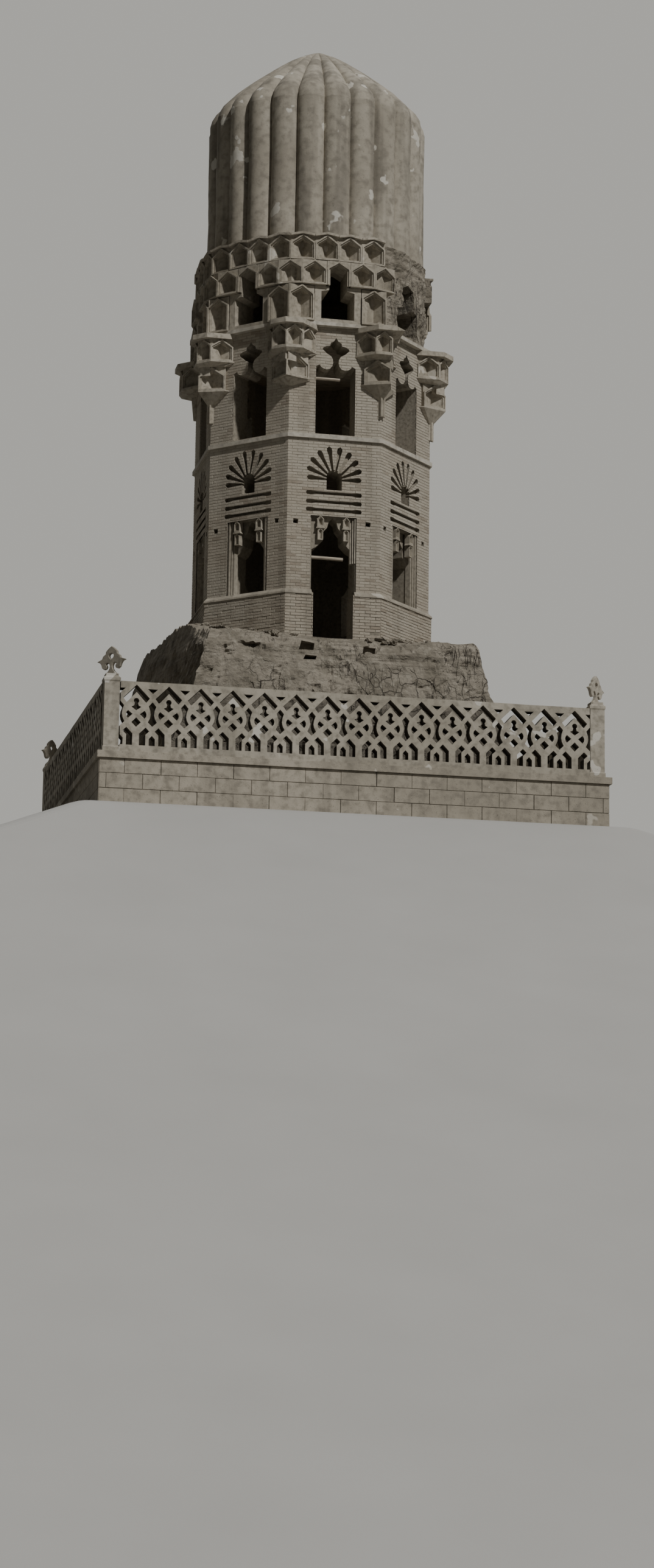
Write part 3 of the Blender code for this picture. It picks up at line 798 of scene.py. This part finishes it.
fillet = raised("foot_fillet", [on_plan(foot_face + 0.03, 5.262), on_plan(foot_face + 0.022, 5.3004),
                                on_plan(SIDE + 0.004, 5.375)])
cut(fillet, [raised("inside", [on_plan(SIDE - 0.02, z) for z in (5.2, 5.5)])])
carved(fillet, [boxed(0.47, 5.0, 5.6)], -2.0)
for vertex in fillet.data.vertices:
    vertex.co.z += noise.noise(vertex.co * 1.3) * 0.02
coat(fillet, limestone)
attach(fillet, "root")
coat(solids["foot_stage"], mortar)


# Fluted hoods and stepped heads of the lower sides
# Over each opening a fan of flutes, 11 cm deep, is cut round a small eye, with three level flutes under it.
# The stepped head below has small plaster niches beside it, and a bundle of mouldings up its jambs.

LOWER_STOREY = (5.3003, 8.7497)
EYE_Z = 7.84
HEAD_Z = 6.30
WITHIN = -1.7
HAIR = 0.0003


def walling(low, high, seed):
    """The core of one side of the octagon, with mitred ends, and its brick facing."""
    face = SIDE - 0.008
    thick = 0.542
    wide = face * CORNER_TURN - HAIR
    narrow = (face - thick) * CORNER_TURN - HAIR
    plan = [(-wide, -face), (wide, -face), (narrow, thick - face), (-narrow, thick - face)]
    core = raised("core", [[(x, y, z) for x, y in plan] for z in (low, high)])
    facing = laid("facing", 2 * SIDE * CORNER_TURN - 0.001, low, high, BRICK, COURSE, JOINT,
                  near=-SIDE, far=-SIDE + 0.03, wear=0.002, seed=seed)
    return core, facing


def dressed(core, facing, extras):
    """Core, brick facing and any carved pieces of one side, as one object."""
    coat(core, mortar)
    coat(facing, brick_face)
    return joined("side", [core, facing] + extras)


def set_round(piece, storey, sides):
    """Copies of a side turned to their places round the octagon."""
    for side in sides:
        wall = copied(piece, f"{storey}_{side}_brickwork", turned(TURNS[side]))
        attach(wall, "root")
        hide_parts(f"{storey}_wall_{side}")
    dropped(piece)


def fan():
    outlines = []
    for k in range(10):
        turn = radians(-86 + 172 * k / 9)
        far = 0.60 + 0.17 * cos(turn)
        drop = [(-0.020, 0.16), (0.020, 0.16), (0.042, far - 0.20), (0.058, far - 0.10), (0.052, far - 0.04),
                (0.0, far), (-0.052, far - 0.04), (-0.058, far - 0.10), (-0.042, far - 0.20)]
        outlines.append([(x * cos(turn) + r * sin(turn), EYE_Z - x * sin(turn) + r * cos(turn))
                         for x, r in drop])
    return outlines


def level_flutes():
    bar = [(0.62, 0.0), (0.60, 0.045), (0.50, 0.050), (0.40, 0.032)]
    bar += [(-x, z) for x, z in bar[:0:-1]]
    bar += [(-x, -z) for x, z in bar]
    return [shifted(bar, 0.0, z) for z in (7.54, 7.345, 7.165)]


def stepped_head(sill, half):
    steps = [(half * 0.80, 0.05), (0.22, 0.20), (0.21, 0.40), (0.12, 0.50), (0.085, 0.64), (0.0, 0.72)]
    return mirrored([(half, sill), (half, HEAD_Z)] + shifted(steps, 0.0, HEAD_Z))


def spandrels(half, height, rise, depth):
    """The two triangles that fill up a gable to a square head."""
    corners = ([(x, height - rise), (x, height), (0.0, height)] for x in (-half, half))
    return [pushed("spandrel", corner, 0.045, depth) for corner in corners]


def cell(width, height, rise, body, steps, fold, left=0.0, right=0.0):
    """A niche block: a gabled frame stepped back in mouldings to a folded back, with its spandrels filled.

    It faces -Y, its foot at the origin. left and right say how far its back end is mitred in on each side.
    """
    half = width / 2
    gable_end = [(-half, 0.0), (0.0, 0.0), (half, 0.0),
                 (half, height - rise), (0.0, height), (-half, height - rise)]
    piece = pushed("cell", gable_end, 0.0, body)
    for vertex in piece.data.vertices:
        if vertex.co.y > body / 2:
            vertex.co.x += left if vertex.co.x < -0.01 else -right if vertex.co.x > 0.01 else 0.0
    selected(piece, lambda middle, normal: normal.y < -0.9)
    for inward, sunk in steps:
        bpy.ops.mesh.inset(thickness=inward, depth=0.0)
        bpy.ops.mesh.extrude_region_move(TRANSFORM_OT_translate={"value": (0, sunk, 0)})
    mode("OBJECT")
    back = next(face for face in piece.data.polygons if face.select)
    ends = [k for k in back.vertices if abs(piece.data.vertices[k].co.x) < 0.001]
    mode("EDIT")
    bpy.ops.mesh.select_mode(type="VERT")
    bpy.ops.mesh.select_all(action="DESELECT")
    mode("OBJECT")
    for k in ends:
        piece.data.vertices[k].select = True
    mode("EDIT")
    bpy.ops.mesh.vert_connect()
    bpy.ops.transform.translate(value=(0, fold, 0))
    mode("OBJECT")
    return joined("cell", [piece] + spandrels(half, height, rise, body))


carved_plaster = weathered("carved_plaster", (0.47, 0.425, 0.345), (0.36, 0.32, 0.25), (0.60, 0.56, 0.48),
                           grain=12.0, streaks=0.30, patches=0.66, relief=0.008)


def head_carving(window):
    """The small niches and jamb mouldings round a stepped head."""
    parts = []
    niche = cell(0.15, 0.24, 0.08, 0.13, ((0.016, 0.018), (0.016, 0.018), (0.010, 0.020)), 0.03)
    leg = cell(0.12, 0.26, 0.05, 0.13, ((0.014, 0.016), (0.014, 0.020)), 0.02)
    for middle in (-0.285, 0.285):
        parts.append(copied(niche, "niche", Matrix.Translation((middle, -SIDE + 0.008, 6.80))))
        parts.append(copied(leg, "leg", Matrix.Translation((middle, -SIDE + 0.02, 6.50))))
        brace = shifted([(-0.10, 0.0), (0.10, 0.0), (0.07, 0.05), (-0.07, 0.05)], middle, 6.755)
        parts.append(pushed("brace", brace, -SIDE + 0.005, -SIDE + 0.13))
    for k, reach in enumerate((0.40, 0.44, 0.48)):
        strip = boxed(0.014, 5.37 if window else 6.02, 7.02, reach)
        for outline in (strip, flipped(strip)) if window else (strip,):
            parts.append(pushed("jamb", outline, -SIDE + 0.09 - 0.035 * k, -SIDE + 0.22))
    dropped(niche, leg)
    carving = joined("carving", parts)
    coat(carving, carved_plaster)
    return carving


def lower_side(half, sill, jambs, seed, window):
    """One side of the lower storey, over an opening of a half width from its sill up."""
    core, facing = walling(*LOWER_STOREY, seed)
    putlog = [(-0.055, 0.0), (0.05, -0.01), (0.06, 0.09), (-0.05, 0.10)]
    eye = mirrored([(0.17, EYE_Z - 0.22), (0.17, EYE_Z + 0.10), (0.13, EYE_Z + 0.19), (0.0, EYE_Z + 0.24)])
    for wall in (core, facing):
        carved(wall, fan(), -SIDE + 0.11)
        carved(wall, level_flutes(), -SIDE + 0.10)
        carved(wall, [shifted(putlog, -0.84, 6.83), shifted(putlog, 0.76, 6.86)], -SIDE + 0.24)
        for reach, deep in jambs:
            carved(wall, [boxed(reach, sill, 7.03)], -SIDE + deep)
        carved(wall, [eye], WITHIN)
        carved(wall, [stepped_head(sill, half)], WITHIN)
    return dressed(core, facing, [head_carving(window)])


door_side = lower_side(half=0.46, sill=5.0, jambs=((0.51, 0.05), (0.485, 0.11)), seed=61, window=False)
set_round(door_side, "lower", SIDES[:1])
window_jambs = ((0.53, 0.05), (0.49, 0.12), (0.45, 0.20))
window_side = lower_side(half=0.40, sill=5.36, jambs=window_jambs, seed=67, window=True)
set_round(window_side, "lower", SIDES[1:])


# Upper sides
# The same brickwork with one tall opening a side; two round cusps hang in its head under a pointed trefoil.
# The openings were cut right through and have no frame left.

def cusped_head(sill):
    cusp = [(0.36, 0.07), (0.335, 0.02), (0.28, -0.015), (0.205, -0.03), (0.13, -0.01),
            (0.08, 0.05), (0.06, 0.13), (0.07, 0.21), (0.11, 0.28), (0.20, 0.33)]
    trefoil = [(0.30, 0.42), (0.29, 0.46), (0.22, 0.50), (0.13, 0.52), (0.12, 0.58),
               (0.05, 0.62), (0.0, 0.70)]
    return mirrored([(0.44, sill), (0.44, 10.40)] + shifted(cusp + trefoil, 0.0, 10.37))


UPPER_STOREY = (8.8403, 11.2997)
core, facing = walling(*UPPER_STOREY, seed=71)
for wall in (core, facing):
    carved(wall, [cusped_head(8.87)], WITHIN)
set_round(dressed(core, facing, []), "upper", SIDES)


# Floors and the two timbers across the openings
# Grey old poplar: plain floor boards, a pole built in across the door head, and a stub in the upper window.
# The poles are round, split along the grain, and end short of the right jamb.

timber = Finish("grey_timber")
grain = timber.cloud(3.0, 6.0, (1.0, 12.0, 12.0))
split = timber.blotches(0.60, 0.68, 5.0, 4.0, (0.5, 9.0, 9.0))
colour = timber.mix(timber.ramp(grain, 0.35, 0.68), (0.50, 0.44, 0.35), (0.30, 0.25, 0.19))
colour = timber.mix(split * 0.8, colour, (0.10, 0.08, 0.06))
old_timber = timber.surface(colour, 0.86, grain - split, 0.006)
coat(solids["floor_upper"], old_timber)
coat(solids["floor_top"], old_timber)

for name, node, start, end, z, radius in (("door_pole", "door_beam", -0.46, 0.24, 6.12, 0.038),
                                          ("window_pole", "window_beam", -0.43, 0.12, 10.16, 0.033)):
    deselect()
    middle = ((start + end) / 2, -SIDE + 0.14, z)
    bpy.ops.mesh.primitive_cylinder_add(vertices=14, radius=radius, depth=end - start, location=middle,
                                        rotation=(0, pi / 2, 0))
    pole = bpy.context.object
    pole.name = name
    bpy.ops.object.transform_apply(location=True, rotation=True)
    edit_all()
    bpy.ops.mesh.subdivide(number_cuts=3)
    mode("OBJECT")
    for vertex in pole.data.vertices:
        vertex.co.y += noise.noise(Vector((vertex.co.x * 2.2, 0, z))) * 0.008
        vertex.co.z += noise.noise(Vector((0, vertex.co.x * 1.7, z))) * 0.010
    coat(pole, old_timber)
    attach(pole, "root")
    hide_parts(node)


# Corner brackets
# Corbelled brick faced with plaster, growing out of each arris: one tier of two niches, then one of four.
# The one at the far left has lost its lower tier, and the one left of the door its foot.

ARRIS = 2.7
STALK = ((0.0, 2.76), (0.03, 2.74), (0.055, 2.70))
LOWER = ((0.0, 3.05), (0.22, 2.83), (0.424, 2.626))
UPPER = ((0.0, 3.11), (0.351, 2.965), (0.545, 2.495))
HEART = ((0.0, 2.73), (0.10, 2.69), (0.28, 2.60))
WHOLE = ((9.35, STALK, 1.0), (9.72, STALK, 1.0), (10.02, LOWER, 1.0), (10.045, LOWER, 1.0),
         (10.046, HEART, 1.0), (10.585, HEART, 1.0))
FOOTLESS = ((9.90, STALK, 1.0), (10.04, LOWER, 0.97), (10.05, HEART, 1.0), (10.585, HEART, 1.0))
TIERLESS = ((10.05, STALK, 1.0), (10.585, STALK, 1.02))
CROWN = ((10.586, LOWER, 1.0), (10.66, UPPER, 1.0), (10.685, UPPER, 1.0), (10.686, HEART, 1.0),
         (11.189, HEART, 1.0), (11.19, UPPER, 1.035), (11.2997, UPPER, 1.035))


def arris_ring(half, grow, z):
    """A level outline of a bracket, from its front points (x, reach), closed along the two walls behind."""
    front = [(x * grow, r * grow) for x, r in half]
    ends = front[-1][0] + 0.012
    behind = ARRIS + HAIR
    ring = front + [(ends, behind - ends * CORNER_TURN), (0.0, behind), (-ends, behind - ends * CORNER_TURN)]
    ring += [(-x, r) for x, r in front[:0:-1]]
    return [(x, -r, z) for x, r in ring]


large = cell(0.60, 0.54, 0.20, 0.26, ((0.032, 0.030), (0.030, 0.030), (0.010, 0.01)), 0.15, left=0.24)
narrow = cell(0.38, 0.505, 0.15, 0.24, ((0.026, 0.028), (0.024, 0.028), (0.008, 0.01)), 0.14,
              left=0.10, right=0.10)
splayed = cell(0.505, 0.505, 0.17, 0.24, ((0.028, 0.028), (0.026, 0.028), (0.010, 0.01)), 0.14, left=0.10)


def both_hands(model, first, second, foot, broken):
    """Niche blocks set square between two plan points, on both sides or on the left alone."""
    middle = ((first[0] + second[0]) / 2, -(first[1] + second[1]) / 2, foot)
    right = Matrix.Translation(middle) @ turned(atan2(first[1] - second[1], second[0] - first[0]))
    left = Matrix.Diagonal((-1, 1, 1, 1)) @ right
    return [copied(model, "cell", place) for place in ((left,) if broken else (right, left))]


def shaken(piece, grain, amount):
    """Put every point a little out of true."""
    for vertex in piece.data.vertices:
        shifts = [noise.noise(vertex.co * grain + Vector((axis * 5, 0, 0))) for axis in range(3)]
        vertex.co += Vector(shifts) * amount


def bracket(levels, tiers=2, broken=False):
    parts = [raised("corbel", [arris_ring(half, grow, z) for z, half, grow in levels + CROWN])]
    if broken:
        for vertex in parts[0].data.vertices:
            stub = -2.80 + noise.noise(vertex.co * 4.0) * 0.08
            if vertex.co.x > 0.03 and vertex.co.z < 11.25:
                vertex.co.y = max(vertex.co.y, stub + vertex.co.x * CORNER_TURN)
    if tiers > 1:
        parts += both_hands(large, LOWER[0], LOWER[2], 10.045, broken)
    parts += both_hands(narrow, UPPER[0], UPPER[1], 10.685, broken)
    parts += both_hands(splayed, UPPER[1], UPPER[2], 10.685, broken)
    if levels is WHOLE:
        for x in (-0.036, 0.036):
            deselect()
            bpy.ops.mesh.primitive_cylinder_add(vertices=10, radius=0.026, depth=0.56,
                                                location=(x, -2.745, 9.62))
            bpy.ops.object.transform_apply(location=True)
            parts.append(bpy.context.object)
    made = joined("bracket", parts)
    shaken(made, 3.0, 0.006)
    coat(made, carved_plaster)
    return made


whole = bracket(WHOLE)
footless = bracket(FOOTLESS)
tierless = bracket(TIERLESS, tiers=1)
broken_off = bracket(WHOLE, broken=True)
for number in range(1, 9):
    model = {8: footless, 6: tierless, 1: broken_off}.get(number, whole)
    piece = copied(model, f"bracket_{number}_carved", turned((number - 0.5) * pi / 4))
    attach(piece, "root")
    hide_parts(f"bracket_{number}")
dropped(whole, footless, tierless, broken_off, large, narrow, splayed)


# Top storey
# Three tiers of plastered niches, each set half a cell round from the next, on a round brick drum.
# On the right they have fallen with their backing, and only rough brickwork is left round the window.

CELLS = 32
CELL_WIDE = 0.50
BORE = 2.1803
TIERS = (
    ("muqarnas_lower", 11.38, 12.20, 2.82, 2.60, 3.05, 2.71),
    ("muqarnas_middle", 12.20, 12.78, 2.97, 2.70, 2.88, 2.70),
    ("muqarnas_upper", 12.78, 13.38, 2.80, 2.67, 2.76, 2.66),
)


def fallen_away(angle):
    return radians(27) < angle % (2 * pi) < radians(82)


def tier_point(angle, corner, side):
    inside = off_side(angle)
    blend = (1 - cos(inside)) / (1 - cos(pi / 8))
    return at_turn(angle, min(side / cos(inside), side + (corner - side) * blend), 0.0)


def window_tool(angle):
    outline = mirrored([(0.37, 11.46), (0.37, 12.08), (0.20, 12.12), (0.20, 12.58), (0.0, 12.68)])
    tool = pushed("window", outline, -3.4, WITHIN)
    tool.data.transform(turned(angle))
    return tool


def tier_ring(name, low, high, corner, side, celled_from):
    """Backing of one tier: a ring that is smooth behind the niches and broken masonry where they are gone."""
    around, up = 256, 10

    def place(i, j):
        angle = 2 * pi * i / around
        if j <= up:
            z = low + HAIR + (high - low - 2 * HAIR) * j / up
            point = tier_point(angle, corner, side)
            spot = Vector((point.x, point.y, z))
            if fallen_away(angle):
                reach = 2.53 + (noise.noise(spot * 1.6) * 0.10 + noise.noise(spot * 5.0) * 0.05
                                + noise.noise(spot * 13.0) * 0.03)
            else:
                reach = point.length - (0.27 if abs(off_side(angle)) > celled_from else 0.055)
            return Vector((point.x / point.length * reach, point.y / point.length * reach, z))
        if j > up + 2:
            return place(i, 0)
        k = i * CELLS / around
        first, last = (at_turn(2 * pi / CELLS * n, 1.0, 0.0) * BORE for n in (floor(k), floor(k) + 1))
        point = first.lerp(last, k - floor(k))
        return Vector((point.x, point.y, high - HAIR if j == up + 1 else low + HAIR))

    return wrapped(name, around, up + 3, place)


def open_frame(width, height, rise):
    """The stepped gable frame of a niche with nothing behind it, where a window passes through."""
    parts = []
    for inward, near, far in ((0.0, 0.0, 0.06), (0.03, 0.034, 0.10)):
        half = width / 2 - inward
        outer = [(-half, 0.0), (half, 0.0), (half, height - rise), (0.0, height - inward),
                 (-half, height - rise)]
        frame_part = pushed("frame", outer, near, far)
        reach = half - 0.035
        inner = mirrored([(reach, -0.1), (reach, height - rise), (0.0, height - inward - 0.05)])
        parts.append(cut(frame_part, [pushed("inner", inner, -0.1, 0.2)]))
    return joined("frame", parts + spandrels(width / 2, height, rise, 0.10))


cell_steps = ((0.030, 0.034), (0.028, 0.034), (0.010, 0.012))
rng = random.Random(5)
for index, (name, low, high, corner_low, side_low, corner_high, side_high) in enumerate(TIERS):
    corner = (corner_low + corner_high) / 2
    side = (side_low + side_high) / 2
    ring = tier_ring(name, low, high, corner, side, (0.205, 0.098, -1.0)[index])
    if index < 2:
        cut(ring, [window_tool(angle) for angle in TURNS.values()])
    height = high - low - 0.02
    model = cell(CELL_WIDE, height, 0.19, 0.34, cell_steps, 0.20, left=0.03, right=0.03)
    if index == 2:
        lip = [(-0.25, height - 0.050), (0.0, height), (0.25, height - 0.050),
               (0.25, height), (0.0, height + 0.05), (-0.25, height)]
        model = joined("cell", [model, pushed("lip", lip, -0.035, 0.10)])
    framed = open_frame(CELL_WIDE, height, 0.19)
    cells = []
    for k in range(CELLS):
        angle = 2 * pi * (k + (0.0 if index == 1 else 0.5)) / CELLS
        at_window = abs(off_side(angle)) < (0.16, 0.03, -1.0)[index]
        if fallen_away(angle) or (at_window and index == 0):
            continue
        first, last = (tier_point(angle + turn, corner, side) for turn in (-pi / CELLS, pi / CELLS))
        chord = last - first
        place = Matrix.Translation((first + last) / 2 + Vector((0, 0, low + 0.008)))
        place = place @ turned(atan2(chord.y, chord.x))
        place = place @ Matrix.Diagonal((chord.length * 0.985 / CELL_WIDE, 1, 1, 1))
        place = place @ Matrix.Translation((0, rng.uniform(0.0, 0.015), 0))
        cells.append(copied(framed if at_window else model, "cell", place))
    dropped(model, framed)
    niches = joined("niches", cells)
    shaken(niches, 2.5, 0.010)
    tier = joined(name + "_niches", [ring, niches])
    coat(tier, carved_plaster, rubble_finish)
    for face in tier.data.polygons:
        face.material_index = 1 if fallen_away(atan2(face.center.x, -face.center.y)) else 0
    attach(tier, "root")
    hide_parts(name)
coat(solids["top_drum"], mortar)


# Ribbed helmet
# A tall shell of twenty-four round ribs in smooth lime plaster, which run on up the cap and die out on it.
# Rain has stained it in streaks, and pale patches show where the plaster has scaled or been made good.

RIBS = 24
RIB_STEPS = 14
helmet_plaster = weathered("helmet_plaster", (0.44, 0.40, 0.325), (0.33, 0.295, 0.235), (0.66, 0.63, 0.55),
                           grain=6.0, streaks=0.50, patches=0.645, relief=0.010)


def rib_turn(i):
    return 2 * pi * (i / RIB_STEPS + 0.5) / RIBS


def rib(i, radius, z):
    """Point round the ribs: fronts are round, and each two meet in a sharp groove."""
    share = (i % RIB_STEPS) / RIB_STEPS
    depth = 0.18 * min(1.0, radius / 2.0)
    return at_turn(rib_turn(i), radius - depth * (1 - sin(pi * share) ** 0.60), z)


def uneven(point, amount):
    out = Vector((point.x, point.y, 0)).normalized()
    return point + out * (noise.noise(point * 0.8) + 0.4 * noise.noise(point * 3.0) - 0.5) * amount


DRUM_ROWS = 24
DRUM_LOW = 13.38
DRUM_TOP = 16.7197
DRUM_REACH = 2.485
DRUM_BORE = 2.08


def drum_point(i, j):
    if j <= DRUM_ROWS:
        z = DRUM_LOW + (DRUM_TOP - DRUM_LOW) * j / DRUM_ROWS
        return uneven(rib(i, DRUM_REACH, z), 0.02 * sin(pi * j / DRUM_ROWS))
    if j > DRUM_ROWS + 2:
        return drum_point(i, 0)
    return at_turn(rib_turn(i), DRUM_BORE, DRUM_TOP if j == DRUM_ROWS + 1 else DRUM_LOW)


helmet = wrapped("helmet_ribs", RIBS * RIB_STEPS, DRUM_ROWS + 3, drum_point)
CAP = ((DRUM_REACH, 16.72), (2.465, 16.86), (2.38, 17.01), (2.21, 17.19), (2.04, 17.37), (1.85, 17.54),
       (1.60, 17.75), (1.34, 17.96), (1.07, 18.17), (0.80, 18.37), (0.55, 18.53), (0.30, 18.66),
       (0.14, 18.74), (0.0, 18.80))
INSIDE = ((0.0, 18.35), (0.50, 18.11), (1.04, 17.69), (1.55, 17.27), (DRUM_BORE, 16.72))


def cap_point(i, j):
    if j < len(CAP):
        radius, z = CAP[j]
        return uneven(rib(i, radius, z), 0.02 * min(1.0, j, radius * 2))
    if j == len(CAP) + len(INSIDE):
        return cap_point(i, 0)
    return at_turn(rib_turn(i), *INSIDE[j - len(CAP)])


cap = wrapped("helmet_cap_ribs", RIBS * RIB_STEPS, len(CAP) + len(INSIDE), cap_point)
for piece, node in ((helmet, "helmet"), (cap, "helmet_cap")):
    picked(piece)
    bpy.ops.object.shade_smooth_by_angle(angle=radians(50))
    coat(piece, helmet_plaster)
    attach(piece, "root")
    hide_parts(node)
